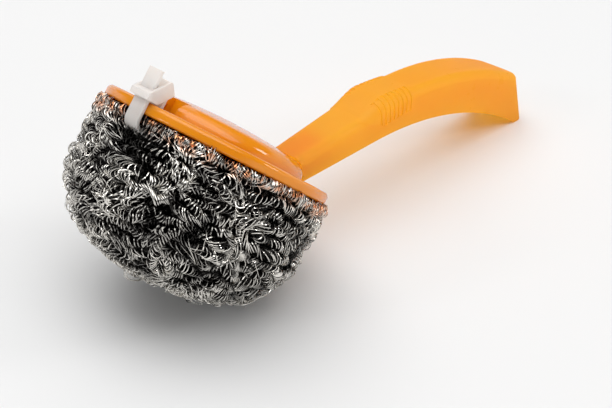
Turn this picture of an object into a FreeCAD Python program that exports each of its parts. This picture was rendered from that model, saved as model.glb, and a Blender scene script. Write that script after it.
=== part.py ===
"""Pot scrubber: a ball of curled steel strand lashed under a round plate with an arched, hollow handle.

Every piece is drawn in the plate's own frame: origin on the plate's axis at its underside, +X towards the handle,
+Z out of the plate's upper face. All pieces are then laid down together, tilted so that the scourer's foot and the
heel of the handle stand on the plane z = 0, with the foot's centre at the origin.
"""
import FreeCAD, Part
import math
import os
from types import SimpleNamespace

import Sketcher

V = FreeCAD.Vector

# Driving dimensions, in millimetres and degrees
SIZES = [
    ("plate_diameter", 75.0, "head plate across its rim"),
    ("plate_thickness", 2.0, "wall of the plate and of its crown"),
    ("rim_drop", 1.6, "how far the rim turns down below the plate"),
    ("rim_wall", 1.8, "wall of the turned-down rim"),
    ("rim_round", 1.5, "rounding of the rim's upper edge"),
    ("rim_lower_round", 0.8, "rounding of the rim's lower edge"),
    ("crown_diameter", 55.5, "raised crown across its foot"),
    ("crown_rise", 6.2, "height of the crown above the plate"),
    ("crown_shoulder", 4.6, "rounding of the crown's edge"),
    ("slot_side", 1.0, "from the strap to the sides of its slot in the plate"),
    ("slot_length", 12.0, "tie slot, along the plate"),
    ("slot_inset", 3.5, "from the rim to the tie slot"),
    ("slot_wall", 2.1, "walls of the crown round the end of the tie slot"),
    ("slot_wall_height", 5.0, "height of those walls above the plate's underside"),
    ("slot_cheek", 1.4, "those walls beside the slot"),
    ("seat_front", 6.0, "from the rim to the foot of the neck's seat"),
    ("seat_back", 0.6, "from the rim to the back of the neck's seat"),
    ("seat_length", 1.6, "top of the seat in front of the neck's end"),
    ("seat_inset", 0.9, "from the outside of the neck's end in to its seat"),
    ("seat_root", 1.5, "how deep the seat's foot runs into the plate"),
    ("spigot_length", 13.0, "spigot inside the neck"),
    ("spigot_depth", 3.4, "thickness of the spigot"),
    ("spigot_root", 1.2, "how deep the spigot's root runs into its seat"),
    ("fit_clearance", 0.2, "clearance of the spigot in the neck"),
    ("neck_front", 4.3, "from the rim to the neck's end, at its top"),
    ("neck_rise", 7.8, "top of the neck's end above the plate's underside"),
    ("neck_depth", 8.3, "neck's end, from its top to its lower edges"),
    ("neck_width", 14.0, "neck across, at its end"),
    ("neck_angle", 47.4, "slope of the neck's top"),
    ("under_angle", 42.5, "slope of the neck's lower edges"),
    ("neck_run", 36.6, "straight part of the neck's top"),
    ("under_run", 35.2, "straight part of the neck's lower edges"),
    ("top_radius", 140.0, "bend of the handle's top"),
    ("under_radius", 135.0, "bend of the handle's lower edges"),
    ("handle_reach", 149.1, "from the plate's axis to the handle's tip, at its foot"),
    ("tip_bend", 12.0, "bend of the handle's top where it turns down at the tip"),
    ("tip_turn", 30.0, "how far the top turns down there"),
    ("tip_bend_setback", 12.4, "from the tip, at its foot, to the start of that bend"),
    ("heel_setback", 6.1, "from the tip to the heel that stands on the table"),
    ("tip_lean", 56.0, "how far the tip's end wall leans back"),
    ("grip_width", 20.0, "handle across, at its rounded tip"),
    ("handle_wall", 2.0, "wall of the hollow handle"),
    ("handle_round", 3.0, "rounding of the handle's upper edges"),
    ("collar_start", 28.0, "from the neck's end to the ribbed collar, along its top"),
    ("collar_length", 27.5, "ribbed collar, along the neck's top"),
    ("collar_ramp", 14.0, "ramp at the front of the collar"),
    ("collar_rise", 2.6, "collar above the neck at the top of its ramp"),
    ("collar_step", 1.0, "collar above the handle at its far end"),
    ("collar_drop", 8.2, "how far the collar reaches down the neck's sides"),
    ("collar_width", 17.9, "collar across"),
    ("collar_round", 4.0, "rounding of the collar's upper edges"),
    ("rib_count", 8, "grooves on each side of the collar"),
    ("rib_pitch", 2.3, "from groove to groove"),
    ("rib_width", 1.4, "width of a groove"),
    ("rib_depth", 0.35, "depth of a groove"),
    ("rib_margin", 1.6, "from the collar's lower edge to the grooves"),
    ("strap_width", 5.2, "cable tie's strap across"),
    ("strap_thickness", 1.2, "cable tie's strap"),
    ("strap_bend", 2.2, "inside radius of the strap's bends"),
    ("strap_gap", 0.4, "from the rim to the strap outside it"),
    ("strap_slot_gap", 1.1, "from the slot's outer edge to the strap in it"),
    ("tail_length", 1.3, "cut tail above the top of the tie's head"),
    ("tie_head_side", 0.9, "side walls of the tie's head"),
    ("tie_head_height", 4.7, "tie's head between its leaning faces"),
    ("tie_head_wall", 1.1, "front wall of the tie's head"),
    ("tie_head_lean", 43.0, "how far the tie's head leans up from the plate"),
    ("tie_head_sole", 4.8, "flat underside of the tie's head"),
    ("tie_head_reach", 6.6, "leaning underside of the tie's head, up to its back"),
    ("tie_head_round", 0.7, "rounding of the upper back edge of the tie's head"),
    ("tie_head_gap", 0.3, "from the plate to the tie's head"),
    ("tie_root_rise", 4.4, "from the head's flat underside up to the end of the strap's root in it"),
    ("window_front", 0.4, "from the tail to the front wall of the window"),
    ("window_side", 0.3, "from the tail to the sides of the window"),
    ("window_depth", 4.9, "window along the plate"),
    ("tooth_pitch", 1.2, "from tooth to tooth on the tail"),
    ("tooth_depth", 0.35, "depth of the tail's teeth"),
    ("tooth_count", 7, "teeth on the tail"),
    ("pawl_gap", 0.15, "from the pawl's teeth to the tail"),
    ("pawl_back_gap", 0.3, "from the pawl's root to the back wall"),
    ("pawl_side_gap", 0.6, "from the pawl to the sides of the window"),
    ("pawl_root", 1.3, "thickness of the pawl's root"),
    ("pawl_head", 1.65, "thickness of the pawl's toothed end"),
    ("pawl_height", 3.7, "pawl, along the tail"),
    ("pawl_step", 0.9, "height of the pawl's root"),
    ("pawl_tooth_depth", 0.5, "depth of the pawl's teeth"),
    ("pawl_rise", 1.3, "from the head's underside to the pawl"),
    ("pawl_pivot", 0.3, "from the pawl's lower back edge in to its hinge"),
    ("ball_diameter", 78.4, "scourer across"),
    ("ball_depth", 45.5, "scourer below the plate's underside"),
    ("ball_corner", 27.1, "rounding of the scourer's lower edge"),
    ("strand_diameter", 6.0, "curled strand across its curls"),
    ("strand_gap", 0.7, "least gap from turn to turn of the outer layer"),
    ("strand_clear", 2.3, "from the strap to the end of the outer layer"),
    ("pole_radius", 6.6, "radius of the outer layer's last turn at its end"),
    ("foot_cut", 0.5, "how deep the strand is pressed flat where it stands"),
    ("core_collar_diameter", 72.0, "wool squeezed under the rim, across"),
    ("core_collar_height", 3.5, "wool squeezed under the rim, height"),
    ("wool_gap", 0.3, "from the wool to what is next to it"),
    ("overrun", 2.0, "how far cuts run past what they cut"),
]

doc = FreeCAD.newDocument("pot_scrubber")


class Size:
    """A length with its value and the expression that ties it to the sheet."""

    def __init__(self, value, text):
        self.value = value
        self.text = text

    def __add__(self, other):
        return Size(self.value + other.value, f"({self.text} + {other.text})")

    def __sub__(self, other):
        return Size(self.value - other.value, f"({self.text} - {other.text})")

    def __mul__(self, other):
        return Size(self.value * other.value, f"({self.text} * {other.text})")

    def __truediv__(self, other):
        return Size(self.value / other.value, f"({self.text} / {other.text})")

    def __neg__(self):
        return Size(-self.value, f"(-{self.text})")

    def half(self):
        return Size(self.value / 2, f"({self.text} / 2)")

    def double(self):
        return Size(self.value * 2, f"({self.text} * 2)")

    def root(self):
        return Size(math.sqrt(self.value), f"sqrt({self.text})")

    def sine(self):
        return Size(math.sin(math.radians(self.value)), f"sin({self.text} * 1 deg)")

    def cosine(self):
        return Size(math.cos(math.radians(self.value)), f"cos({self.text} * 1 deg)")


NONE = Size(0.0, "0")


def make_sheet():
    """The spreadsheet of driving dimensions, as bound sizes and as plain numbers."""
    sheet = doc.addObject("Spreadsheet::Sheet", "Sizes")
    for row, (alias, value, meaning) in enumerate(SIZES, 1):
        sheet.set(f"A{row}", meaning)
        sheet.set(f"B{row}", str(value))
        sheet.setAlias(f"B{row}", alias)
    doc.recompute()
    numbers = {alias: float(sheet.get(alias)) for alias, _, _ in SIZES}
    bound = {alias: Size(value, f"Sizes.{alias}") for alias, value in numbers.items()}
    return SimpleNamespace(**bound), SimpleNamespace(**numbers)


size, mm = make_sheet()

# Places that several pieces share
plate_radius = size.plate_diameter.half()
slot_outer = plate_radius - size.slot_inset
slot_inner = slot_outer - size.slot_length
strap_out = plate_radius + size.strap_gap + size.strap_thickness
strap_in = plate_radius + size.strap_gap
inner_run_out = slot_outer - size.strap_slot_gap
inner_run_in = inner_run_out - size.strap_thickness
collar_bottom = size.rim_drop + size.wool_gap + size.core_collar_height
low_run_top = collar_bottom + size.wool_gap
low_run_bottom = low_run_top + size.strap_thickness
head_bottom = size.plate_thickness + size.tie_head_gap
head_rise, head_run = size.tie_head_lean.sine(), size.tie_head_lean.cosine()
head_top = head_bottom + size.tie_head_reach * head_rise + size.tie_head_height * head_run
window_out = strap_out + size.window_front
window_in = window_out - size.window_depth
window_width = size.strap_width + size.window_side.double()
head_front = window_out + size.tie_head_wall
root_top = head_bottom + size.tie_root_rise
outer_bend = size.strap_bend + size.strap_thickness


def on_plane(body, name, role):
    """An empty sketch on one of a body's own origin planes."""
    sketch = body.newObject("Sketcher::SketchObject", name)
    plane = next(item for item in body.Origin.OriginFeatures if item.Role == role)
    sketch.AttachmentSupport = [(plane, "")]
    sketch.MapMode = "FlatFace"
    return sketch


def arc_between(start, end, radius, turn):
    """The shorter arc from start to end: turn 1 goes counterclockwise, turn -1 clockwise."""
    chord = end - start
    reach = math.sqrt(max(radius**2 - chord.Length**2 / 4, 0.0))
    centre = (start + end) * 0.5 + V(-chord.y, chord.x, 0).normalize() * reach * turn
    first, last = (start, end) if turn > 0 else (end, start)
    angles = [math.atan2(p.y - centre.y, p.x - centre.x) for p in (first, last)]
    return Part.ArcOfCircle(Part.Circle(centre, V(0, 0, 1), radius), *angles)


def outline(sketch, corners):
    """Closed outline through corners (x, y), each bound to the sheet.

    A corner (x, y, radius, turn) starts an arc to the next corner instead of a line.
    """
    points = [V(c[0].value, c[1].value, 0) for c in corners]
    firsts, lasts = [], []
    for i, corner in enumerate(corners):
        start, end = points[i], points[(i + 1) % len(points)]
        if len(corner) == 2:
            edge = Part.LineSegment(start, end)
        else:
            edge = arc_between(start, end, corner[2].value, corner[3])
        reverse = len(corner) == 4 and corner[3] < 0
        sketch.addGeometry(edge, False)
        firsts.append(2 if reverse else 1)
        lasts.append(1 if reverse else 2)
    for i, corner in enumerate(corners):
        after = (i + 1) % len(corners)
        sketch.addConstraint(Sketcher.Constraint("Coincident", i, lasts[i], after, firsts[after]))
        held = [("DistanceX", corner[0]), ("DistanceY", corner[1])]
        for kind, length in held:
            n = sketch.addConstraint(Sketcher.Constraint(kind, i, firsts[i], length.value))
            sketch.setExpression(f"Constraints[{n}]", length.text)
        if len(corner) == 4:
            n = sketch.addConstraint(Sketcher.Constraint("Radius", i, corner[2].value))
            sketch.setExpression(f"Constraints[{n}]", corner[2].text)


def rectangle(sketch, left, right, low, high):
    outline(sketch, [(left, low), (right, low), (right, high), (left, high)])


def pad(body, sketch, length, both_ways=True):
    """A pad of a sketch, centred on it or on its positive side."""
    feature = body.newObject("PartDesign::Pad", sketch.Name + "_pad")
    feature.Profile = sketch
    feature.SideType = "Symmetric" if both_ways else "One side"
    feature.setExpression("Length", length.text)
    doc.recompute()
    return feature


def pocket(body, sketch, length):
    """A pocket of a sketch, centred on it, that has to take something away."""
    before = body.Shape.Volume
    feature = body.newObject("PartDesign::Pocket", sketch.Name + "_cut")
    feature.Profile = sketch
    feature.SideType = "Symmetric"
    feature.setExpression("Length", length.text)
    doc.recompute()
    if body.Shape.Volume >= before:
        raise RuntimeError(f"{sketch.Name} cuts nothing")
    return feature


def revolve(body, sketch):
    feature = body.newObject("PartDesign::Revolution", sketch.Name + "_turn")
    feature.Profile = sketch
    feature.ReferenceAxis = (sketch, ["V_Axis"])
    doc.recompute()
    return feature


def new_body(name):
    body = doc.addObject("PartDesign::Body", name)
    body.Label = name
    return body


def make_head_plate():
    """Round plate with a turned-down rim, a crown, the tie's slot, and the neck's seat and spigot."""
    body = new_body("head_plate")
    crown_foot = size.crown_diameter.half()
    shoulder = size.crown_shoulder
    across = crown_foot - shoulder
    crown_bend = (across * across + size.crown_rise * size.crown_rise - shoulder * shoulder)
    crown_bend = crown_bend / (size.crown_rise - shoulder).double()
    lean_x = across / (crown_bend - shoulder)
    lean_z = (crown_bend - size.crown_rise) / (crown_bend - shoulder)
    inner_shoulder = shoulder - size.plate_thickness
    crown_top = size.plate_thickness + size.crown_rise
    inner_foot = crown_foot - size.plate_thickness
    rim_inside = plate_radius - size.rim_wall
    section = on_plane(body, "plate_section", "XZ_Plane")
    outline(section, [
        (NONE, crown_top, crown_bend, -1),
        (across + shoulder * lean_x, size.plate_thickness + shoulder * lean_z, shoulder, -1),
        (crown_foot, size.plate_thickness),
        (plate_radius - size.rim_round, size.plate_thickness, size.rim_round, -1),
        (plate_radius, size.plate_thickness - size.rim_round),
        (plate_radius, size.rim_lower_round - size.rim_drop, size.rim_lower_round, -1),
        (plate_radius - size.rim_lower_round, -size.rim_drop),
        (rim_inside, -size.rim_drop),
        (rim_inside, NONE),
        (inner_foot, NONE),
        (inner_foot, size.plate_thickness, inner_shoulder, 1),
        (across + inner_shoulder * lean_x, size.plate_thickness + inner_shoulder * lean_z,
         crown_bend - size.plate_thickness, 1),
        (NONE, size.crown_rise),
    ])
    revolve(body, section)
    wall = on_plane(body, "slot_wall_plan", "XY_Plane")
    slot_half = size.strap_width.half() + size.slot_side
    wall_half = slot_half + size.slot_cheek
    rectangle(wall, -slot_inner - size.slot_wall, size.slot_wall - slot_inner, -wall_half, wall_half)
    pad(body, wall, size.slot_wall_height, both_ways=False)
    rise, run = size.neck_angle.sine(), size.neck_angle.cosine()
    end_x, end_z = plate_radius - size.neck_front, size.neck_rise
    seat_x, seat_z = end_x + size.seat_inset * rise, end_z - size.seat_inset * run
    foot = size.plate_thickness - size.seat_root
    back = plate_radius - size.seat_back
    seat = on_plane(body, "seat_side", "XZ_Plane")
    outline(seat, [
        (plate_radius - size.seat_front, foot),
        (back, foot),
        (back, seat_z - (back - seat_x) * run / rise),
        (seat_x, seat_z),
        (seat_x - size.seat_length * run, seat_z - size.seat_length * rise),
    ])
    pad(body, seat, size.neck_width - size.seat_inset.double())
    upper = size.handle_wall + size.fit_clearance
    lower = upper + size.spigot_depth
    root_x, root_z = end_x - size.spigot_root * run, end_z - size.spigot_root * rise
    tip_x, tip_z = end_x + size.spigot_length * run, end_z + size.spigot_length * rise
    spigot = on_plane(body, "spigot_side", "XZ_Plane")
    outline(spigot, [
        (root_x + upper * rise, root_z - upper * run),
        (root_x + lower * rise, root_z - lower * run),
        (tip_x + lower * rise, tip_z - lower * run),
        (tip_x + upper * rise, tip_z - upper * run),
    ])
    pad(body, spigot, size.neck_width - size.handle_wall.double() - size.fit_clearance.double())
    slot = on_plane(body, "slot_plan", "XY_Plane")
    rectangle(slot, -slot_outer, -slot_inner, -slot_half, slot_half)
    pocket(body, slot, (crown_top + size.overrun).double())
    return body


def make_cable_tie():
    """Nylon tie in one piece: the head, the strap round rim and wool, and the cut tail with its teeth."""
    body = new_body("cable_tie")
    head = on_plane(body, "tie_head_side", "XZ_Plane")
    sole_end = head_front - size.tie_head_sole
    heel_x, heel_z = sole_end - size.tie_head_reach * head_run, head_bottom + size.tie_head_reach * head_rise
    peak_x = heel_x + size.tie_head_height * head_rise
    nose_top = head_top - (head_front - peak_x) * head_rise / head_run
    bend = size.tie_head_round
    outline(head, [
        (-head_front, head_bottom),
        (-head_front, nose_top),
        (-peak_x - bend * head_run, head_top - bend * head_rise, bend, -1),
        (bend * head_rise - peak_x, head_top - bend * head_run),
        (-heel_x, heel_z),
        (-sole_end, head_bottom),
    ])
    pad(body, head, window_width + size.tie_head_side.double())
    window = on_plane(body, "tie_window_side", "XZ_Plane")
    rectangle(window, -window_out, -window_in, head_bottom - size.overrun, head_top + size.overrun)
    pocket(body, window, window_width)
    strap = on_plane(body, "strap_side", "XZ_Plane")
    tail_top = head_top + size.tail_length
    outline(strap, [
        (-inner_run_in, root_top),
        (-inner_run_in, outer_bend - low_run_bottom, outer_bend, -1),
        (-inner_run_in - outer_bend, -low_run_bottom),
        (outer_bend - strap_out, -low_run_bottom, outer_bend, -1),
        (-strap_out, outer_bend - low_run_bottom),
        (-strap_out, tail_top),
        (-strap_in, tail_top),
        (-strap_in, size.strap_bend - low_run_top, size.strap_bend, 1),
        (size.strap_bend - strap_in, -low_run_top),
        (-inner_run_out - size.strap_bend, -low_run_top, size.strap_bend, 1),
        (-inner_run_out, size.strap_bend - low_run_top),
        (-inner_run_out, root_top),
    ])
    pad(body, strap, size.strap_width)
    tooth = on_plane(body, "tooth_side", "XZ_Plane")
    tooth_top = tail_top - size.tooth_pitch.half()
    tooth_mouth = size.overrun * size.tooth_depth / size.strap_thickness
    outline(tooth, [
        (-strap_in - size.tooth_depth, tooth_top),
        (tooth_mouth - strap_in, tooth_top - size.tooth_pitch.half()),
        (tooth_mouth - strap_in, tooth_top),
    ])
    notch = pocket(body, tooth, size.strap_width)
    teeth = body.newObject("PartDesign::LinearPattern", "tail_teeth")
    teeth.Originals = [notch]
    teeth.Direction = (tooth, ["V_Axis"])
    teeth.Reversed = True
    teeth.setExpression("Length", f"Sizes.tooth_pitch * (Sizes.tooth_count - 1)")
    teeth.setExpression("Occurrences", "Sizes.tooth_count")
    body.Tip = teeth
    return body


def pawl_corner():
    """The lower back corner of the pawl: (distance in front of the plate's axis, height)."""
    return window_in + size.pawl_back_gap, head_bottom + size.pawl_rise


def make_tie_pawl():
    """Sprung tongue in the tie's head: a root by the back wall and a toothed end by the tail."""
    body = new_body("tie_pawl")
    back, low = pawl_corner()
    high = low + size.pawl_height
    crest = strap_in - size.pawl_gap
    valley = crest - size.pawl_tooth_depth
    side = on_plane(body, "pawl_side", "XZ_Plane")
    half_pitch = size.tooth_pitch.half()
    outline(side, [
        (-back, low),
        (-back, low + size.pawl_step),
        (size.pawl_head - crest, high),
        (-crest, high),
        (-valley, high - half_pitch),
        (-crest, high - size.tooth_pitch),
        (-valley, high - size.tooth_pitch - half_pitch),
        (-back - size.pawl_root, low),
    ])
    pad(body, side, window_width - size.pawl_side_gap.double())
    return body


def make_scourer_core():
    """Inner layers of the scourer: a rounded drum, with a squeezed collar and a passage for the strap."""
    body = new_body("scourer_core")
    inset = size.strand_diameter + size.wool_gap
    side = size.ball_diameter.half() - inset
    corner = size.ball_corner - inset
    bottom = size.ball_depth - inset
    under_plate = plate_radius - size.rim_wall - size.wool_gap
    collar = size.core_collar_diameter.half()
    under_rim = size.rim_drop + size.wool_gap
    section = on_plane(body, "core_section", "XZ_Plane")
    outline(section, [
        (NONE, -size.wool_gap),
        (NONE, -bottom),
        (side - corner, -bottom, corner, 1),
        (side, corner - bottom),
        (side, -collar_bottom),
        (collar, -collar_bottom),
        (collar, -under_rim),
        (under_plate, -under_rim),
        (under_plate, -size.wool_gap),
    ])
    revolve(body, section)
    passage = on_plane(body, "strap_passage", "XZ_Plane")
    gap = size.wool_gap
    round_in = size.strap_bend - gap
    outline(passage, [
        (-strap_out - size.overrun, -collar_bottom),
        (-strap_out - size.overrun, -low_run_bottom - gap),
        (gap - inner_run_in, -low_run_bottom - gap),
        (gap - inner_run_in, size.overrun),
        (-inner_run_out - gap, size.overrun),
        (-inner_run_out - gap, round_in - collar_bottom, round_in, -1),
        (-inner_run_out - gap - round_in, -collar_bottom),
    ])
    pocket(body, passage, size.strap_width + gap.double())
    return body


# The handle's side view, worked out once: a straight neck and one bend, above and below
foot_x = mm.plate_diameter / 2 - mm.neck_front
neck = math.radians(mm.neck_angle)
under = math.radians(mm.under_angle)
foot_front = V(foot_x, 0, mm.neck_rise)
foot_back = foot_front + V(math.sin(neck), 0, -math.cos(neck)) * mm.neck_depth
top_bend = foot_front + V(math.cos(neck), 0, math.sin(neck)) * mm.neck_run
under_bend = foot_back + V(math.cos(under), 0, math.sin(under)) * mm.under_run
top_centre = top_bend + V(math.sin(neck), 0, -math.cos(neck)) * mm.top_radius
under_centre = under_bend + V(math.sin(under), 0, -math.cos(under)) * mm.under_radius


def on_bend(centre, radius, x):
    """The point of a bend's circle, on its upper side, at x."""
    return V(x, 0, centre.z + math.sqrt(radius**2 - (x - centre.x) ** 2))


heel = on_bend(under_centre, mm.under_radius, mm.handle_reach - mm.heel_setback)

# How the scrubber lies: a plane that touches the scourer's rounded lower edge and the handle's heel
corner_r = mm.ball_diameter / 2 - mm.ball_corner
corner_z = mm.ball_corner - mm.ball_depth
level_reach = math.hypot(heel.x - corner_r, heel.z - corner_z)
level_slope = math.atan2(heel.z - corner_z, heel.x - corner_r)
tilt = level_slope + math.asin((mm.ball_corner - mm.foot_cut) / level_reach)
down = V(math.sin(tilt), 0, -math.cos(tilt))
foot_centre = V(corner_r, 0, corner_z) + down * (mm.ball_corner - mm.foot_cut)
tip_foot = heel.z + mm.heel_setback * math.tan(tilt)
lay_down = FreeCAD.Rotation(V(0, 1, 0), math.degrees(tilt))
rest = FreeCAD.Placement(-lay_down.multVec(foot_centre), lay_down)


def face_of(edges):
    return Part.Face(Part.Wire([edge.toShape() for edge in edges]))


# The top's second bend, tangent to the first, that turns down at the tip
tip_start = on_bend(top_centre, mm.top_radius, mm.handle_reach - mm.tip_bend_setback)
tip_out = (tip_start - top_centre).normalize()
tip_centre = tip_start - tip_out * mm.tip_bend
tip_fall = math.atan2(tip_out.z, tip_out.x) - math.radians(mm.tip_turn)
tip_down = V(math.sin(tip_fall), 0, -math.cos(tip_fall))


def tip_arc(share, inset):
    """The point of the tip's bend, that far inside it, after a share of its turn."""
    angle = tip_fall + math.radians(mm.tip_turn) * (1 - share)
    return tip_centre + V(math.cos(angle), 0, math.sin(angle)) * (mm.tip_bend - inset)


def top_height(x):
    """Height of the handle's top at x."""
    last = tip_arc(1, 0)
    if x < top_bend.x:
        return foot_front.z + (x - foot_front.x) * math.tan(neck)
    if x < tip_start.x:
        return on_bend(top_centre, mm.top_radius, x).z
    if x < last.x:
        return on_bend(tip_centre, mm.tip_bend, x).z
    return last.z + (x - last.x) * tip_down.z / tip_down.x


def handle_side(inset):
    """Side view of the handle as a face in the XZ plane.

    With an inset it is the hollow instead, that far inside the top, and open below.
    """
    across = V(math.sin(neck), 0, -math.cos(neck)) * inset
    start, bend = foot_front + across, top_bend + across
    turn_down = tip_arc(0, inset)
    middle = on_bend(top_centre, mm.top_radius - inset, (bend.x + turn_down.x) / 2)
    last = tip_arc(1, inset)
    tip = last + tip_down * ((mm.handle_reach - last.x) / tip_down.x)
    edges = [
        Part.Arc(bend, middle, turn_down),
        Part.Arc(turn_down, tip_arc(0.5, inset), last),
        Part.LineSegment(last, tip),
    ]
    if inset:
        floor = -mm.overrun
        start = start - V(math.cos(neck), 0, math.sin(neck)) * (start.z - floor) / math.sin(neck)
        low = V(tip.x, 0, floor)
        edges += [Part.LineSegment(tip, low), Part.LineSegment(low, start)]
    else:
        land = V(mm.handle_reach, 0, tip_foot)
        under_middle = on_bend(under_centre, mm.under_radius, (heel.x + under_bend.x) / 2)
        edges += [
            Part.LineSegment(tip, land),
            Part.LineSegment(land, heel),
            Part.Arc(heel, under_middle, under_bend),
            Part.LineSegment(under_bend, foot_back),
            Part.LineSegment(foot_back, start),
        ]
    edges.append(Part.LineSegment(start, bend))
    return face_of(edges)


def handle_plan(inset):
    """Plan view of the handle, that far inside its outline: straight sides tangent to a rounded tip.

    It is drawn at the height of the tip's foot, and leans back above it as the tip does.
    """
    radius = mm.grip_width / 2
    centre = V(mm.handle_reach - radius, 0, 0)
    lag = (tip_foot - mm.neck_rise) * math.tan(math.radians(mm.tip_lean))
    corner = V(foot_x - lag, mm.neck_width / 2, 0)
    chord = centre - corner
    lean = math.asin((radius - mm.neck_width / 2) / chord.Length)
    square = V(-math.sin(lean), math.cos(lean), 0)
    touch = centre + square * (radius - inset)
    start = corner - square * inset + V(-math.cos(lean), -math.sin(lean), 0) * mm.grip_width
    tip = V(mm.handle_reach - inset, 0, 0)
    mirror = [V(p.x, -p.y, 0) for p in (touch, start)]
    return face_of([
        Part.LineSegment(start, touch),
        Part.Arc(touch, tip, mirror[0]),
        Part.LineSegment(mirror[0], mirror[1]),
        Part.LineSegment(mirror[1], start),
    ])


def handle_form(inset):
    """The handle's outer form, or the hollow inside it: its side view and its leaning plan in common."""
    width = V(0, mm.grip_width, 0)
    upward = V(-math.tan(math.radians(mm.tip_lean)), 0, 1)
    side = handle_side(inset)
    side.translate(-width)
    plan = handle_plan(inset)
    plan.translate(V(0, 0, tip_foot) - upward * mm.handle_reach)
    return side.extrude(width * 2).common(plan.extrude(upward * mm.handle_reach * 2))


def top_point(along):
    """Point of the neck's top, and the way out of it, at a distance from the seat."""
    if along <= mm.neck_run:
        point = foot_front + V(math.cos(neck), 0, math.sin(neck)) * along
        return point, V(-math.sin(neck), 0, math.cos(neck))
    turned = neck - (along - mm.neck_run) / mm.top_radius
    out = V(-math.sin(turned), 0, math.cos(turned))
    return top_centre + out * mm.top_radius, out


def off_top(along, offset):
    point, out = top_point(along)
    return point + out * offset


def collar_lift(along):
    """Height of the collar over the neck's top: a soft ramp, and a crest that runs out."""
    crest = mm.collar_start + mm.collar_ramp
    if along < crest:
        share = (along - mm.collar_start) / mm.collar_ramp
        return (mm.collar_rise + mm.fit_clearance) * share**2 * (3 - 2 * share) - mm.fit_clearance
    share = (along - crest) / (mm.collar_length - mm.collar_ramp)
    return mm.collar_rise + (mm.collar_step - mm.collar_rise) * share


def collar_block(inset):
    """The collar without its grooves, that far inside its outside."""
    start = mm.collar_start
    end = start + mm.collar_length
    crest = start + mm.collar_ramp
    steps = int(mm.rib_count) * 2
    places = [start + mm.collar_length * i / steps for i in range(steps + 1)]
    curve = Part.BSplineCurve()
    curve.interpolate([off_top(along, collar_lift(along) - inset) for along in places])
    ends = [curve.EndPoint, off_top(end, -mm.collar_drop), off_top(crest, -mm.collar_drop), curve.StartPoint]
    face = face_of([curve] + [Part.LineSegment(a, b) for a, b in zip(ends, ends[1:])])
    half = mm.collar_width / 2 - inset
    face.translate(V(0, -half, 0))
    block = face.extrude(V(0, half * 2, 0))
    upper = [edge for edge in block.Edges if edge.Curve.TypeId == "Part::GeomBSplineCurve"]
    return block.makeFillet(mm.collar_round - inset, upper)


def make_collar():
    """Thicker stretch where the neck ends, with grooves over its rounded edges and down its sides."""
    half = mm.collar_width / 2
    under_groove = collar_block(mm.rib_depth)
    grooves = []
    for i in range(int(mm.rib_count)):
        along = mm.collar_start + mm.collar_length - mm.rib_pitch * (i + 1)
        point, out = top_point(along)
        turn = FreeCAD.Rotation(V(0, 0, 1), out)
        reach = mm.collar_drop - mm.rib_margin
        cutter = Part.makeBox(mm.rib_width, mm.collar_round + mm.overrun, reach + mm.collar_rise + mm.overrun)
        for sideways in (half - mm.collar_round, -half - mm.overrun):
            groove = cutter.copy()
            groove.translate(V(-mm.rib_width / 2, sideways, -reach))
            groove.Placement = FreeCAD.Placement(point, turn).multiply(groove.Placement)
            grooves.append(groove.cut(under_groove))
    return collar_block(0).cut(grooves)


def is_top_edge(edge):
    """Whether an edge of the handle runs along the side or the tip of its top face."""
    for share in (0.25, 0.5, 0.75):
        span = edge.LastParameter - edge.FirstParameter
        point = edge.valueAt(edge.FirstParameter + span * share)
        top = top_height(point.x)
        if abs(point.z - top) > mm.fit_clearance or point.x < foot_front.x + mm.fit_clearance:
            return False
    return True


def make_handle():
    """Hollow arched handle: its rounded shell, open below, with the ribbed collar on its neck."""
    outer = handle_form(0)
    outer = outer.makeFillet(mm.handle_round, [edge for edge in outer.Edges if is_top_edge(edge)])
    hollow = handle_form(mm.handle_wall)
    shell = outer.fuse(make_collar()).cut(hollow)
    handle = doc.addObject("Part::Feature", "handle")
    handle.Shape = shell.removeSplitter()
    return handle


# The outer layer of strand: one tube on a spiral that comes down the drum's side and in to its pole
strand_r = mm.strand_diameter / 2
spiral_side = mm.ball_diameter / 2 - strand_r
spiral_corner = mm.ball_corner - strand_r
spiral_top = mm.rim_drop + mm.core_collar_height + mm.wool_gap * 2 + strand_r
side_length = -corner_z - spiral_top
corner_length = spiral_corner * math.pi / 2
foot_length = side_length + spiral_corner * (math.pi / 2 - tilt)
start_past_tie = mm.strap_width / 2 + mm.strand_clear + strand_r + mm.strand_diameter
start_turn = (math.pi + start_past_tie / spiral_side) / (2 * math.pi)
turns_to_foot = math.floor(foot_length / (mm.strand_diameter + mm.strand_gap) + start_turn)
pitch = foot_length / (turns_to_foot - start_turn)
whole_length = side_length + corner_length + corner_r - mm.pole_radius
last_turn_share = 0.5
strand_turns = math.floor((whole_length / pitch - last_turn_share) * 4) / 4
draw_in = whole_length - pitch * strand_turns


def meridian(length):
    """Radius and height on the drum, and their rates, at a length down its side and in to its pole."""
    if length < side_length:
        return spiral_side, -spiral_top - length, 0.0, -1.0
    if length < side_length + corner_length:
        angle = (length - side_length) / spiral_corner
        c, s = math.cos(angle), math.sin(angle)
        return corner_r + spiral_corner * c, corner_z - spiral_corner * s, -s, -c
    inward = length - side_length - corner_length
    return corner_r - inward, corner_z - spiral_corner, -1.0, 0.0


def spiral(turn):
    """Point and direction of the strand after a number of turns. Its last half turn draws in faster."""
    late = max(turn - strand_turns + last_turn_share, 0.0) / last_turn_share
    length = pitch * turn + draw_in * late**2
    rate = pitch + 2 * draw_in * late / last_turn_share
    r, z, dr, dz = meridian(length)
    angle = 2 * math.pi * (start_turn + turn)
    c, s = math.cos(angle), math.sin(angle)
    per_turn = 2 * math.pi * r
    way = V(dr * rate * c - per_turn * s, dr * rate * s + per_turn * c, dz * rate)
    return V(r * c, r * s, z), way.normalize()


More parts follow.
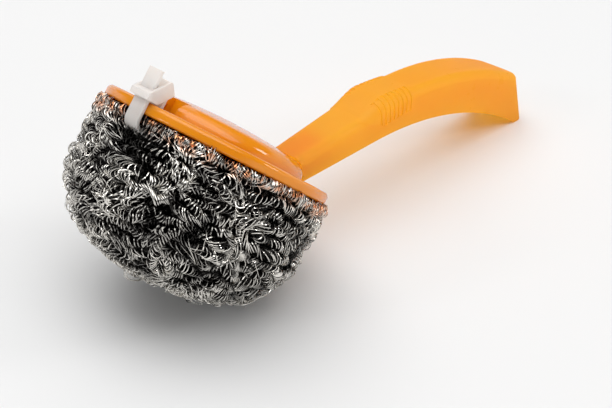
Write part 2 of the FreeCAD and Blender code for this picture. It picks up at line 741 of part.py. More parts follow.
def biarc(start, way_in, end, way_out):
    """Two arcs that join start to end and leave and arrive in the given directions."""
    chord = end - start
    both = way_in + way_out
    spread = 2 * (1 - way_in.dot(way_out))
    along = chord.dot(both)
    reach = (math.sqrt(along**2 + spread * chord.dot(chord)) - along) / spread
    ahead, behind = start + way_in * reach, end - way_out * reach
    middle = (ahead + behind) * 0.5
    arcs = []
    for a, knee, b in ((start, ahead, middle), (middle, behind, end)):
        half = (b - a).Length / 2
        height = (knee - (a + b) * 0.5).Length
        bulge = half * math.tan(math.atan2(height, half) / 2)
        arcs.append(Part.Arc(a, (a + b) * 0.5 + (knee - (a + b) * 0.5).normalize() * bulge, b))
    return arcs


def strand_path():
    """The strand's centre line: a straight end, quarter turns as biarcs, and a straight end."""
    quarters = round(strand_turns * 4)
    knots = [spiral(i / 4) for i in range(quarters + 1)]
    first, way = knots[0]
    edges = [Part.LineSegment(first - way * mm.strand_diameter, first)]
    for (a, way_a), (b, way_b) in zip(knots, knots[1:]):
        edges += biarc(a, way_a, b, way_b)
    last, way = knots[-1]
    edges.append(Part.LineSegment(last, last + way * mm.strand_diameter))
    return [edge.toShape() for edge in edges]


def least_gap(edges):
    """Least clear gap of the strand to its own other turns, measured on points of its centre line."""
    points, lengths, done = [], [], 0.0
    step = strand_r / 2
    for edge in edges:
        count = max(int(edge.Length / step), 2)
        points += edge.discretize(count)[:-1]
        lengths += [done + edge.Length * i / (count - 1) for i in range(count - 1)]
        done += edge.Length
    apart = mm.strand_diameter * 3
    return min(
        (points[i] - points[j]).Length
        for i in range(len(points))
        for j in range(i)
        if lengths[i] - lengths[j] > apart
    ) - mm.strand_diameter


def make_scourer_strand():
    """Outer layer of the scourer, one unbroken tube, pressed flat where it stands."""
    edges = strand_path()
    begin = edges[0].valueAt(edges[0].FirstParameter)
    way = edges[0].tangentAt(edges[0].FirstParameter)
    ring = Part.Wire([Part.makeCircle(strand_r, begin, way)])
    tube = Part.Wire(edges).makePipeShell([ring], True, False)
    spread = mm.ball_diameter
    ground = Part.makeBox(spread, spread, spread, V(-spread / 2, -spread / 2, -spread))
    ground.Placement = rest.inverse().multiply(ground.Placement)
    strand = doc.addObject("Part::Feature", "scourer_strand")
    strand.Shape = tube.cut(ground)
    length = sum(edge.Length for edge in edges)
    full = math.pi * strand_r**2 * length
    print(f"strand: {length:.0f} mm long, {strand_turns} turns, pitch {pitch:.2f}, start {start_turn * 360:.1f}, "
          f"least gap to itself {least_gap(edges):.2f}")
    print(f"strand volume {tube.Volume:.0f}, section times length {full:.0f}, pressed {strand.Shape.Volume:.0f}")
    return strand


def main():
    pieces = [
        make_head_plate(),
        make_handle(),
        make_cable_tie(),
        make_tie_pawl(),
        make_scourer_core(),
        make_scourer_strand(),
    ]
    doc.recompute()
    for piece in pieces:
        piece.Placement = rest
    doc.recompute()
    failed = [o.Name for o in doc.Objects if "Invalid" in o.State or "Error" in o.State]
    if failed:
        raise RuntimeError(f"not built: {failed}")
    os.makedirs("parts", exist_ok=True)
    for piece in pieces:
        shape = piece.Shape
        if shape.isNull() or not shape.isValid() or len(shape.Solids) != 1:
            raise RuntimeError(f"{piece.Label} is not one valid solid")
        shape.exportStep(f"parts/{piece.Label}.step")
        box = shape.optimalBoundingBox()
        print(f"{piece.Label}: {shape.Volume:.0f} mm3, x {box.XMin:.1f} to {box.XMax:.1f}, "
              f"y {box.YMin:.1f} to {box.YMax:.1f}, z {box.ZMin:.2f} to {box.ZMax:.1f}")
    back, low = pawl_corner()
    hinge = V(-back.value - mm.pawl_pivot, 0, low.value + mm.pawl_pivot)
    print(f"rest tilt {math.degrees(tilt):.2f} degrees, pawl hinge at {rest.multVec(hinge)}")


main()
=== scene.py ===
"""Looks of the pot scrubber: curled steel wire, translucent orange mouldings and a nylon cable tie."""
import math

import bpy
import numpy as np
from mathutils import Matrix, Vector


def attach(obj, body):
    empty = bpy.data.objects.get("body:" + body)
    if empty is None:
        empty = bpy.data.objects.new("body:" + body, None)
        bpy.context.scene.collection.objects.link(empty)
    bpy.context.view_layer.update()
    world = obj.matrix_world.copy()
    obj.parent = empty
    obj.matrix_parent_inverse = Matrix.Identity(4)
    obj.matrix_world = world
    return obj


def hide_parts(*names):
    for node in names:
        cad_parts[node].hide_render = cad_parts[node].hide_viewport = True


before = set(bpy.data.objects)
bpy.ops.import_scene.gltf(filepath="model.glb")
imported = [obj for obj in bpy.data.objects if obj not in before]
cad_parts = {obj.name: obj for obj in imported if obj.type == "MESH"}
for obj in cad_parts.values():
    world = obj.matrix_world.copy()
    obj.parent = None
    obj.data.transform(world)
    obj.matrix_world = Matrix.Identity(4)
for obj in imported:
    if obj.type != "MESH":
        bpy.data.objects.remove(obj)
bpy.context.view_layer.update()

MM = 0.001
TURN = 2 * math.pi
BODY = "scrubber"
# The least length and radius, in millimetres, that anything is divided by
LEAST_LENGTH, LEAST_RADIUS = 1e-9, 1e-6

# The head's own frame: origin on the plate's axis at its underside, +Z out of its upper face, +X to the handle
TILT = math.radians(41.18)
HEAD_AT = (3.008, 0.0, 48.416)

# The scourer's drum in that frame, in millimetres: its side, the round corner under it and the radius and height of
# that corner's centre, and the hole that the winding leaves at the pole
SIDE_R = 39.2
CORNER_R = 27.1
CORNER_AT = (12.1, -18.4)
POLE_R = 2.0


def turn_to_part(vectors):
    """Directions in the head's frame as directions of the part."""
    c, s = math.cos(TILT), math.sin(TILT)
    x, y, z = vectors.T
    return np.stack([x * c + z * s, y, -x * s + z * c], axis=1)


def to_part(points):
    """Points in the head's frame as points of the part, both in millimetres."""
    return turn_to_part(points) + HEAD_AT


# ---------------------------------------------------------------- camera

IMAGE_W = 612
FOCUS_PX = 1300.0
SENSOR_W = 36.0
CLIP = (0.01, 20.0)
CAMERA_AT = (-0.228445, -0.256449, 0.249702)
CAMERA_EL = math.radians(32.905)
CAMERA_AZ = math.radians(46.59)


def make_camera():
    data = bpy.data.cameras.new("camera")
    data.sensor_width = SENSOR_W
    data.lens = FOCUS_PX / IMAGE_W * SENSOR_W
    data.clip_start, data.clip_end = CLIP
    camera = bpy.data.objects.new("camera", data)
    ce, se = math.cos(CAMERA_EL), math.sin(CAMERA_EL)
    ca, sa = math.cos(CAMERA_AZ), math.sin(CAMERA_AZ)
    right = Vector((ca, -sa, 0.0))
    ahead = Vector((ce * sa, ce * ca, -se))
    up = Vector((se * sa, se * ca, ce))
    turned = Matrix((right, up, -ahead)).transposed().to_4x4()
    camera.matrix_world = Matrix.Translation(CAMERA_AT) @ turned
    bpy.context.scene.collection.objects.link(camera)
    bpy.context.scene.camera = camera


# ---------------------------------------------------------------- fields

# How many waves make a wobble, and how their lengths are drawn, as shares of the asked one
WAVES = 7
WAVE_DRAW = (0.7, 1.5)


def wobble(points, wave, seed):
    """A smooth field in space, about -1 to 1, that changes over about half a wave length."""
    rng = np.random.default_rng(seed)
    total = np.zeros(len(points))
    for _ in range(WAVES):
        way = rng.normal(size=3)
        way /= np.linalg.norm(way)
        k = TURN / (wave * rng.uniform(*WAVE_DRAW))
        total += np.sin(points @ way * k + rng.uniform(0, TURN))
    return total / math.sqrt(WAVES)


def vary(points, seed, base, *wobbles):
    """A base with wobbles added to it, each given by its share and its wave length, on seeds in a row."""
    for i, (share, wave) in enumerate(wobbles):
        base = base + share * wobble(points, wave, seed + i)
    return base


def smooth(x):
    """A step from 0 to 1 with soft ends."""
    x = np.clip(x, 0.0, 1.0)
    return x * x * (3 - 2 * x)


def press(values, limit, room):
    """Values that come near a limit and never pass it."""
    return np.where(values > limit - room, limit - room * np.exp(-(values - limit + room) / room), values)


def unit(vectors):
    return vectors / np.maximum(np.linalg.norm(vectors, axis=1, keepdims=True), LEAST_LENGTH)


def square_to(vectors, along):
    """What is left of some vectors square to others, as unit vectors."""
    return unit(vectors - along * np.sum(vectors * along, axis=1, keepdims=True))


def read_along(rows, known, at):
    """Rows of three values that are known at some lengths, read at other lengths."""
    return np.stack([np.interp(at, known, rows[:, i]) for i in range(3)], axis=1)


# ---------------------------------------------------------------- the ball's shape


def meridian(length, inset, start):
    """Radius, height and outward normal on the drum's surface moved in by inset, at a length down from its start."""
    side = start - CORNER_AT[1]
    corner = CORNER_R - inset
    turn = np.clip((length - side) / corner, 0.0, math.pi / 2)
    inward = np.maximum(length - side - corner * math.pi / 2, 0.0)
    c, s = np.cos(turn), np.sin(turn)
    r = np.where(length < side, SIDE_R - inset, CORNER_AT[0] + corner * c - inward)
    z = np.where(length < side, start - length, CORNER_AT[1] - corner * s)
    return r, z, c, -s


def meridian_length(inset, start):
    """The length from the start down to the hole at the pole."""
    return start - CORNER_AT[1] + (CORNER_R - inset) * math.pi / 2 + CORNER_AT[0] - POLE_R


def on_drum(angle, length, inset, start):
    """Points and outward normals on the drum."""
    r, z, nr, nz = meridian(length, inset, start)
    c, s = np.cos(angle), np.sin(angle)
    return np.stack([r * c, r * s, z], axis=1), np.stack([nr * c, nr * s, nz], axis=1)


# Where the cable tie holds the wool: how far to the front, half the strap and a little, the strap's lower bend and its
# inner face
FRONT_FROM, FRONT_FADE = 15.0, 10.0
TIE_HALF, TIE_FADE = 3.0, 1.0
TIE_BEND, BEND_FADE = -7.6, 1.2
TIE_INSIDE = 37.6
# How deep the tie pinches the wool next to it, how far to its sides, and about which height
PINCH_DEPTH, PINCH_HALF = 1.4, 7.0
PINCH_AT, PINCH_REACH = -9.0, 15.0
# The plate's turned-down rim, and how high wool may stand inside it, under it and outside it
RIM_IN, RIM_OUT = 35.5, 37.75
TOP_IN, TOP_UNDER, TOP_OUT = -0.4, -1.75, -0.5
TOP_SOFT = 0.8
FLOOR_GAP, FLOOR_SOFT = 0.25, 2.5


def fit_round(points):
    """Draws wool in behind the cable tie and next to it, and presses it flat under the rim and on the floor.
    Points in the head's frame in, points of the part out."""
    x, y, z = points.T
    r = np.hypot(x, y)
    front = smooth((-x - FRONT_FROM) / FRONT_FADE)
    pinch = front * np.exp(-((y / PINCH_HALF) ** 2)) * np.exp(-(((z - PINCH_AT) / PINCH_REACH) ** 2))
    behind = smooth((TIE_HALF + TIE_FADE - np.abs(y)) / TIE_FADE)
    held = front * behind * smooth((z - TIE_BEND) / BEND_FADE + 1)
    fresh = r - PINCH_DEPTH * pinch
    fresh = fresh + held * (np.minimum(fresh, TIE_INSIDE) - fresh)
    shrink = fresh / np.maximum(r, LEAST_RADIUS)
    top = np.where(fresh > RIM_OUT, TOP_OUT, np.where(fresh < RIM_IN, TOP_IN, TOP_UNDER))
    fitted = to_part(np.stack([x * shrink, y * shrink, press(z, top, TOP_SOFT)], axis=1))
    fitted[:, 2] = -press(-fitted[:, 2], -FLOOR_GAP, FLOOR_SOFT - FLOOR_GAP)
    return fitted


# The wool's lumps on the drum, as shares and wave lengths, and how far out of the drum a path may lie at most
LUMP_WAVES = ((0.5, 24.0), (0.5, 11.0))
LUMP_SEED = 400
LIFT_MOST = 0.9


def lumps(points):
    """How far the wool stands out of the drum or sinks into it."""
    return vary(points, LUMP_SEED, 0.0, *LUMP_WAVES)


def lifted(place, normal, lift):
    """Places on the drum moved out along their normals, up to the limit."""
    return place + normal * np.minimum(lift, LIFT_MOST)[:, None]


# ---------------------------------------------------------------- paths of the strands

# The step along a path in millimetres, and the radius at which a winding's steps are counted
STEP = 0.4
COUNT_R = 30
# Where a winding starts, how it wanders off its row, and how any path wanders in and out, as shares and wave lengths
WOUND_FROM = math.radians(202)
ROW_WAVES = ((1.0, 16.0), (0.5, 6.0))
LIFT_SHARE, LIFT_WAVE = 0.5, 9.0
# Crossing paths: the height at which their drum starts, less the inset, the room left at its top and pole where they
# begin, how sharply they bend, and the least radius and length down that they are reckoned with
CROSSING_TOP = -0.8
ROOM_TOP, ROOM_POLE = 1, 4
BEND = 0.03
CROSSING_LEAST_R = 4.0
CROSSING_LEAST_DOWN = 0.5


def wound_path(inset, start, row, shift, stray, seed):
    """A path wound round the drum row by row, from under the rim to the pole, that wanders off its row."""
    whole = meridian_length(inset, start)
    turns = whole / row
    turn = np.linspace(0, turns, int(TURN * COUNT_R * turns / STEP))
    angle = TURN * (turn + shift) + WOUND_FROM
    length = np.clip(turn * row, 0, whole)
    place, _ = on_drum(angle, length, inset, start)
    length = vary(place, seed, length, *[(share * stray, wave) for share, wave in ROW_WAVES])
    place, normal = on_drum(angle, np.clip(length, 0, whole), inset, start)
    lift = vary(place, seed + len(ROW_WAVES), lumps(place), (LIFT_SHARE * stray, LIFT_WAVE))
    return lifted(place, normal, lift), normal


def crossing_path(rng, inset, reach, seed):
    """A short path over the drum that crosses its rows."""
    start = CROSSING_TOP - inset
    whole = meridian_length(inset, start)
    n = int(reach / STEP)
    length, angle = np.empty(n), np.empty(n)
    while True:
        length[0] = rng.uniform(ROOM_TOP, whole - ROOM_POLE)
        if rng.uniform(0, SIDE_R) < meridian(length[0], inset, start)[0]:
            break
    angle[0] = rng.uniform(0, TURN)
    way = rng.uniform(0, TURN)
    bend = rng.normal(0, BEND)
    for i in range(1, n):
        r = max(float(meridian(length[i - 1], inset, start)[0]), CROSSING_LEAST_R)
        way += bend + rng.normal(0, BEND)
        angle[i] = angle[i - 1] + math.cos(way) * STEP / r
        length[i] = min(max(length[i - 1] + math.sin(way) * STEP, CROSSING_LEAST_DOWN), whole)
    place, normal = on_drum(angle, length, inset, start)
    return lifted(place, normal, vary(place, seed, lumps(place), (LIFT_SHARE, LIFT_WAVE))), normal


# ---------------------------------------------------------------- curled wire

# How curls vary along a wire, as shares and wave lengths: the length of a curl, its radius and its lean, and the
# limits of the first two as shares of their means
CURL_WAVES = ((0.30, 14.0), (0.12, 3.5))
RADIUS_WAVES = ((0.14, 9.0), (0.10, 2.6))
LEAN_WAVES = ((1.0, 12.0), (0.35, 3.4))
CURL_LEAST, CURL_MOST = 0.55, 2.0
RADIUS_LEAST, RADIUS_MOST = 0.5, 1.3
# Points in a curl, and the fewest in a wire
CURL_STEPS = 13
LEAST_POINTS = 4


def curl_along(path, normal, radius, curl, lean, hand, seed, steps=CURL_STEPS):
    """A wire curled round a path in the head's frame: its centre line, fitted round what holds the wool, and its
    outward directions, both in the part's frame. Every wobble has a seed of its own."""
    rng = np.random.default_rng(seed)
    ds = np.linalg.norm(np.diff(path, axis=0), axis=1)
    s = np.concatenate([[0.0], np.cumsum(ds)])
    curl_here = curl * vary(path, seed + 1, 1.0, *CURL_WAVES)
    rate = TURN / np.clip(curl_here, curl * CURL_LEAST, curl * CURL_MOST)
    phase = np.concatenate([[0.0], np.cumsum((rate[1:] + rate[:-1]) / 2 * ds)])
    turn = np.linspace(0, phase[-1], max(int(phase[-1] / TURN * steps), LEAST_POINTS))
    at = np.interp(turn, phase, s)
    p = read_along(path, s, at)
    along = unit(np.gradient(p, axis=0))
    up = square_to(read_along(normal, s, at), along)
    side = np.cross(along, up) * hand
    turn = turn + rng.uniform(0, TURN)
    c, t = np.cos(turn)[:, None], np.sin(turn)[:, None]
    r = radius * vary(p, seed + 3, 1.0, *RADIUS_WAVES)[:, None]
    r = np.clip(r, RADIUS_LEAST * radius, RADIUS_MOST * radius)
    out = c * up + t * side
    lean_up = lean * vary(p, seed + 5, 0.0, *LEAN_WAVES)[:, None]
    lean_side = lean * vary(p, seed + 7, 0.0, *LEAN_WAVES)[:, None]
    line = p + r * (out + along * (lean_up * c + lean_side * t))
    return fit_round(line), turn_to_part(out)


# A wire's flat section in millimetres, and its twist in radians over a wave length
WIRE_W, WIRE_T = 0.27, 0.12
TWIST, TWIST_WAVE = 0.7, 6.0
SIDES = 4
# Points of wire in a row of the UV map, and the corners of a cell of it
UV_ROW = 256
UV_CELL = np.array([[0, 0], [0, 1], [1, 1], [1, 0]])


class Wires:
    """Flat wires gathered into one mesh, with every side of every wire laid out in rows on its UV map."""

    def __init__(self, seed):
        self.seed = seed
        self.used = 0
        self.points, self.quads, self.cells = [], [], []

    def add(self, line, out, width=WIRE_W):
        """A wire of a flat section along a line in the part's frame, in millimetres."""
        along = unit(np.gradient(line, axis=0))
        out = square_to(out, along)
        across = np.cross(out, along)
        twist = (TWIST * wobble(line, TWIST_WAVE, self.seed))[:, None]
        c, s = np.cos(twist), np.sin(twist)
        out, across = out * c + across * s, across * c - out * s
        w, t = across * width / 2, out * WIRE_T / 2
        ring = np.stack([line + w + t, line - w + t, line - w - t, line + w - t], axis=1)

        place = self.used + np.arange(len(line) - 1)[:, None]
        end = self.used + len(line) - 1
        j = np.arange(SIDES)[None, :]
        here, ahead, k = place * SIDES, (place + 1) * SIDES, (j + 1) % SIDES
        sides = np.stack([here + j, here + k, ahead + k, ahead + j], axis=2).reshape(-1, 4)
        caps = np.concatenate([self.used * SIDES + j[:, ::-1], end * SIDES + j])
        cells = np.stack(np.broadcast_arrays(place, j), axis=2).reshape(-1, 2)

        self.points.append(ring.reshape(-1, 3))
        self.quads.append(np.concatenate([sides, caps]))
        self.cells.append(np.concatenate([cells, [[end, 0], [end, 1]]]))
        self.used += len(line)

    def make(self, name, material):
        """One object of all the wires added."""
        cells = np.concatenate(self.cells)
        row, column = np.divmod(cells[:, 0], UV_ROW)
        rows = (self.used // UV_ROW + 1) * SIDES
        corner = np.stack([column, row * SIDES + cells[:, 1]], axis=1)
        uv = (corner[:, None, :] + UV_CELL) / np.array([UV_ROW, rows])
        points, quads = np.concatenate(self.points), np.concatenate(self.quads)
        return mesh_object(name, points * MM, quads, material, uv=uv)


# Edges of wire that bend more than this stay sharp
WIRE_SHARP = math.radians(55)


def mesh_object(name, points, quads, material, caps=(), sharp=WIRE_SHARP, uv=None):
    """A smooth-shaded mesh of quads, and of caps with many corners, that rides with the scrubber."""
    corners = np.concatenate([quads.ravel(), *caps]).astype(np.int32)
    sizes = [quads.shape[1]] * len(quads) + [len(cap) for cap in caps]
    starts = np.cumsum([0] + sizes[:-1]).astype(np.int32)
    mesh = bpy.data.meshes.new(name)
    mesh.vertices.add(len(points))
    mesh.vertices.foreach_set("co", points.astype(np.float32).ravel())
    mesh.loops.add(len(corners))
    mesh.loops.foreach_set("vertex_index", corners)
    mesh.polygons.add(len(starts))
    mesh.polygons.foreach_set("loop_start", starts)
    mesh.update(calc_edges=True)
    mesh.polygons.foreach_set("use_smooth", np.ones(len(starts), dtype=bool))
    mesh.set_sharp_from_angle(angle=sharp)
    if uv is not None:
        mesh.uv_layers.new(name="OFBake").uv.foreach_set("vector", uv.astype(np.float32).ravel())
    mesh.materials.append(material)
    made = bpy.data.objects.new(name, mesh)
    bpy.context.scene.collection.objects.link(made)
    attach(made, BODY)
    return made


# ---------------------------------------------------------------- the scourer

# Most points of wire in one piece
PIECE_POINTS = 20000
# name, inset, start, row, shift, stray, radius of the curls, curl, lean, hand, seed
LAYERS = (
    ("scourer_outer", 2.1, -2.9, 3.6, 0.0, 1.2, 1.6, 1.0, 1.1, 1, 11),
    ("scourer_second", 4.0, -3.3, 4.0, 0.5, 1.3, 1.85, 1.2, 0.9, -1, 37),
    ("scourer_third", 6.6, -4.0, 6.0, 0.25, 1.6, 2.6, 1.6, 0.7, 1, 59),
)


def wind_layers(wire):
    """The wound layers, each cut into pieces of about the same length."""
    made = []
    for name, inset, start, row, shift, stray, radius, curl, lean, hand, seed in LAYERS:
        path, normal = wound_path(inset, start, row, shift, stray, seed)
        line, out = curl_along(path, normal, radius, curl, lean, hand, seed)
        pieces = math.ceil(len(line) / PIECE_POINTS)
        cuts = np.linspace(0, len(line) - 1, pieces + 1).astype(int)
        for i, (a, b) in enumerate(zip(cuts, cuts[1:])):
            wires = Wires(seed)
            wires.add(line[a:b + 1], out[a:b + 1])
            made.append(wires.make(f"{name}_{i + 1}", wire))
    return made


# Kinds of short strand: from what to what their inset, reach, radius of the curls and curl are drawn, their lean, the
# points in a curl, and the seeds that their paths and curls start at
CROSSING = dict(inset=(1.9, 3.2), reach=(14, 42), radius=(1.1, 1.8), curl=(0.85, 1.5), lean=0.8,
                steps=CURL_STEPS, path_seed=700, curl_seed=1000)
LOOSE = dict(inset=(2.0, 3.0), reach=(6, 12), radius=(2.2, 3.2), curl=(3.0, 6.0), lean=1.2,
             steps=28, path_seed=800, curl_seed=2000)
CURL_SEED_STEP = 10
STRAND_SEED = 83
CROSSINGS = 100
CROSSING_WIDTH = (0.85, 1.2)
LOOSE_LOOPS = 45
LOOSE_WIDTH = 0.7
# Seeds of the wires' twist, one for each piece
CROSSING_TWISTS = (83, 183)
LOOSE_TWIST = 84


def short_strand(rng, kind, i):
    """The line and outward directions of a short curled strand somewhere on the drum."""
    inset = rng.uniform(*kind["inset"])
    path, normal = crossing_path(rng, inset, rng.uniform(*kind["reach"]), kind["path_seed"] + i)
    radius = rng.uniform(*kind["radius"])
    curl = rng.uniform(*kind["curl"])
    hand = rng.choice([-1, 1])
    seed = kind["curl_seed"] + CURL_SEED_STEP * i
    return curl_along(path, normal, radius, curl, kind["lean"], hand, seed, kind["steps"])


# Turns of wire under the rim: their radius and height, how far they sway in and out and up and down, over what wave
# lengths, the radius at which the first sway is read, the points in a turn, the span of its start, and its curls
RIM_TURN_R, RIM_TURN_Z = 36.6, -3.3
RIM_SWAY = 0.4
RIM_OUT_WAVE, RIM_UP_WAVE = 9.0, 8.0
RIM_FIELD_R = 36
RIM_STEPS = 700
RIM_START = 6
RIM_CURL = 1.1
RIM_LEAN = 0.6
# radius of the curls, hand, and seeds of the two sways and of the curls
RIM_TURNS = (
    (1.9, 1, 71, 75, 90),
    (2.1, -1, 72, 76, 110),
)


def rim_turn(rng, radius, hand, out_seed, up_seed, curl_seed):
    """The line and outward directions of a turn of curled wire under the plate's rim."""
    angle = np.linspace(0, TURN, RIM_STEPS) + rng.uniform(0, RIM_START)
    flat = np.stack([np.cos(angle), np.sin(angle), 0 * angle], axis=1)
    path = flat * vary(flat * RIM_FIELD_R, out_seed, RIM_TURN_R, (RIM_SWAY, RIM_OUT_WAVE))[:, None]
    path[:, 2] = vary(path, up_seed, RIM_TURN_Z, (RIM_SWAY, RIM_UP_WAVE))
    return curl_along(path, flat, radius, RIM_CURL, RIM_LEAN, hand, curl_seed)


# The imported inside: how deep it lies and how high it starts, the points round it and down it, the hole at its pole,
# its own lumps as shares and wave lengths, and how far and from what height it widens into a collar at the plate
HEART_INSET, HEART_START = 9.5, -0.5
HEART_AROUND, HEART_DOWN = 180, 70
HEART_POLE_R = 0.4
HEART_WAVES = ((0.8, 5.0), (0.5, 2.5))
HEART_SEED = 901
COLLAR_FLARE = 5.0
COLLAR_FROM, COLLAR_FADE = -11.0, 7.0
COLLAR_LEAST_R = 1.0


def make_heart(material):
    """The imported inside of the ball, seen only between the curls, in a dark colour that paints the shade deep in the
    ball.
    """
    around, down = HEART_AROUND, HEART_DOWN
    whole = meridian_length(HEART_INSET, HEART_START) + POLE_R - HEART_POLE_R
    angle, length = np.meshgrid(np.linspace(0, TURN, around, endpoint=False), np.linspace(0, whole, down))
    place, normal = on_drum(angle.ravel(), length.ravel(), HEART_INSET, HEART_START)
    place = place + normal * vary(place, HEART_SEED, lumps(place), *HEART_WAVES)[:, None]
    flare = COLLAR_FLARE * smooth((place[:, 2] - COLLAR_FROM) / COLLAR_FADE)
    r = np.maximum(np.hypot(place[:, 0], place[:, 1]), COLLAR_LEAST_R)
    place[:, :2] *= (1 + flare / r)[:, None]
    i, j = np.meshgrid(np.arange(down - 1), np.arange(around), indexing="ij")
    here, below, k = i * around, (i + 1) * around, (j + 1) % around
    quads = np.stack([here + j, below + j, below + k, here + k], axis=2).reshape(-1, 4)
    rim = np.arange(around)
    caps = [rim, (rim + (down - 1) * around)[::-1]]
    return mesh_object("scourer_heart", fit_round(place) * MM, quads, material, caps, sharp=math.pi)


def make_scourer(wire, dark):
    made = wind_layers(wire)
    rng = np.random.default_rng(STRAND_SEED)
    for part, twist in enumerate(CROSSING_TWISTS):
        wires = Wires(twist)
        for i in range(part, CROSSINGS, len(CROSSING_TWISTS)):
            line, out = short_strand(rng, CROSSING, i)
            wires.add(line, out, WIRE_W * rng.uniform(*CROSSING_WIDTH))
        wires.make(f"scourer_crossing_{part + 1}", wire)
    wires = Wires(LOOSE_TWIST)
    for i in range(LOOSE_LOOPS):
        wires.add(*short_strand(rng, LOOSE, i), WIRE_W * LOOSE_WIDTH)
    for turn in RIM_TURNS:
        wires.add(*rim_turn(rng, *turn))
    wires.make("scourer_loose", wire)
    # The heart's dark material is painted shade
    heart = make_heart(dark)
    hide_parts("scourer_strand")
    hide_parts("scourer_core")


# ---------------------------------------------------------------- materials

# Where most of a noise lies
NOISE_LOW, NOISE_HIGH = 0.3, 0.7
# A Mix node's sockets for colours, which share their names with others
MIX_FACTOR, MIX_A, MIX_B, MIX_RESULT = 0, 6, 7, 2
# A material's grain: scale, detail and roughness of the noise in its tint, its gloss and its bump, and the height of
# the bump in metres
PLASTIC_GRAIN = dict(tint=(55.0, 4.0), gloss=(160.0, 5.0, 0.6), bump=(420.0, 3.0), height=0.00003)
NYLON_GRAIN = dict(tint=(220.0, 4.0), gloss=(500.0, 4.0), bump=(1500.0, 3.0), height=0.00003)
STEEL_GRAIN = dict(tint=(260.0, 3.0), gloss=(700.0, 3.0), bump=(5200.0, 2.0), height=0.00002)


def fill_ramp(ramp, stops):
    """Gives a colour ramp its stops, each a position and a colour."""
    while len(ramp.elements) < len(stops):
        ramp.elements.new(0.5)
    for element, (at, colour) in zip(ramp.elements, stops):
        element.position = at
        element.color = (*colour, 1.0)


class Look:
    """A material with one Principled shader and the nodes that feed it."""

    def __init__(self, name, grain, **values):
        self.grain = grain
        self.material = bpy.data.materials.new(name)
        self.material.use_nodes = True
        self.tree = self.material.node_tree
        self.shader = self.tree.nodes["Principled BSDF"]
        for key, value in values.items():
            self.shader.inputs[key.replace("_", " ")].default_value = value
        self.place = self.node("TexCoord").outputs["Object"]

    def node(self, kind, **settings):
        made = self.tree.nodes.new("ShaderNode" + kind)
        for key, value in settings.items():
            setattr(made, key, value)
        return made

    def link(self, a, b):
        self.tree.links.new(a, b)

    def feed(self, socket, output):
        self.link(output, self.shader.inputs[socket])

    def noise(self, scale, detail, rough=0.5):
        made = self.node("TexNoise")
        made.inputs["Scale"].default_value = scale
        made.inputs["Detail"].default_value = detail
        made.inputs["Roughness"].default_value = rough
        self.link(self.place, made.inputs["Vector"])
        return made.outputs["Fac"]

    def spread(self, factor, low, high, start=NOISE_LOW, end=NOISE_HIGH):
        """A factor from start to end as a value from low to high."""
        made = self.node("MapRange")
        for key, value in (("From Min", start), ("From Max", end), ("To Min", low), ("To Max", high)):
            made.inputs[key].default_value = value
        self.link(factor, made.inputs["Value"])
        return made.outputs["Result"]

    def math(self, kind, a, b=None):
        made = self.node("Math", operation=kind)
        for socket, value in zip(made.inputs, (a, b)):
            if isinstance(value, float):
                socket.default_value = value
            elif value is not None:
                self.link(value, socket)
        return made.outputs["Value"]

    def hypot(self, a, b):
        return self.math("SQRT", self.math("ADD", self.math("POWER", a, 2.0), self.math("POWER", b, 2.0)))

    def scale(self, colour, factor):
        made = self.node("VectorMath", operation="SCALE")
        self.link(colour, made.inputs["Vector"])
        self.link(factor, made.inputs["Scale"])
        return made.outputs["Vector"]

    def blend(self, factor, colour, other):
        """A colour that turns into another, fixed one by a factor."""
        made = self.node("Mix", data_type="RGBA")
        self.link(factor, made.inputs[MIX_FACTOR])
        self.link(colour, made.inputs[MIX_A])
        made.inputs[MIX_B].default_value = (*other, 1.0)
        return made.outputs[MIX_RESULT]

    def tint(self, deep, light):
        """A colour that wanders from a deeper to a lighter one."""
        made = self.node("ValToRGB")
        fill_ramp(made.color_ramp, ((NOISE_LOW, deep), (NOISE_HIGH, light)))
        self.link(self.noise(*self.grain["tint"]), made.inputs["Fac"])
        return made.outputs["Color"]

    def surface(self, rough_low, rough_high):
        """Gloss that wanders between two roughnesses, and a fine bump."""
        self.feed("Roughness", self.spread(self.noise(*self.grain["gloss"]), rough_low, rough_high))
        bump = self.node("Bump")
        bump.inputs["Distance"].default_value = self.grain["height"]
        self.link(self.noise(*self.grain["bump"]), bump.inputs["Height"])
        self.feed("Normal", bump.outputs["Normal"])

    def glow_through(self, colour, share):
        """Mixes in a share of light that comes through from behind."""
        behind = self.node("BsdfTranslucent")
        self.link(colour, behind.inputs["Color"])
        both = self.node("MixShader")
        both.inputs["Fac"].default_value = share
        self.link(self.shader.outputs["BSDF"], both.inputs[1])
        self.link(behind.outputs["BSDF"], both.inputs[2])
        self.link(both.outputs["Shader"], self.tree.nodes["Material Output"].inputs["Surface"])

    def head_place(self):
        """The place on the part as x, y and z of the head's own frame, in metres."""
        turn = self.node("Mapping", vector_type="TEXTURE")
        turn.inputs["Location"].default_value = [v * MM for v in HEAD_AT]
        turn.inputs["Rotation"].default_value = (0.0, TILT, 0.0)
        self.link(self.place, turn.inputs["Vector"])
        parts = self.node("SeparateXYZ")
        self.link(turn.outputs["Vector"], parts.inputs["Vector"])
        return [parts.outputs[axis] for axis in "XYZ"]


PLASTIC_IOR = 1.49
COAT_ROUGH = 0.08


def orange(name, deep, light, rough, through, coat):
    """A moulded plastic that light comes through: its colours, its roughness, its glow from behind and its gloss."""
    look = Look(name, PLASTIC_GRAIN, IOR=PLASTIC_IOR, Coat_Weight=coat, Coat_Roughness=COAT_ROUGH)
    tint = look.tint(deep, light)
    look.feed("Base Color", tint)
    look.surface(*rough)
    look.glow_through(tint, through)
    return look.material


NYLON_INSIDE = dict(IOR=1.53, Subsurface_Weight=0.6, Subsurface_Radius=(1.0, 0.92, 0.85), Subsurface_Scale=0.003)
# The strap is thin and milky: painted shade darkens its colour where it lies on the dark wool, from one height to
# another
STRAP_PAINTED_SHADE = 0.78
STRAP_FADE = (-2.0, 2.5)


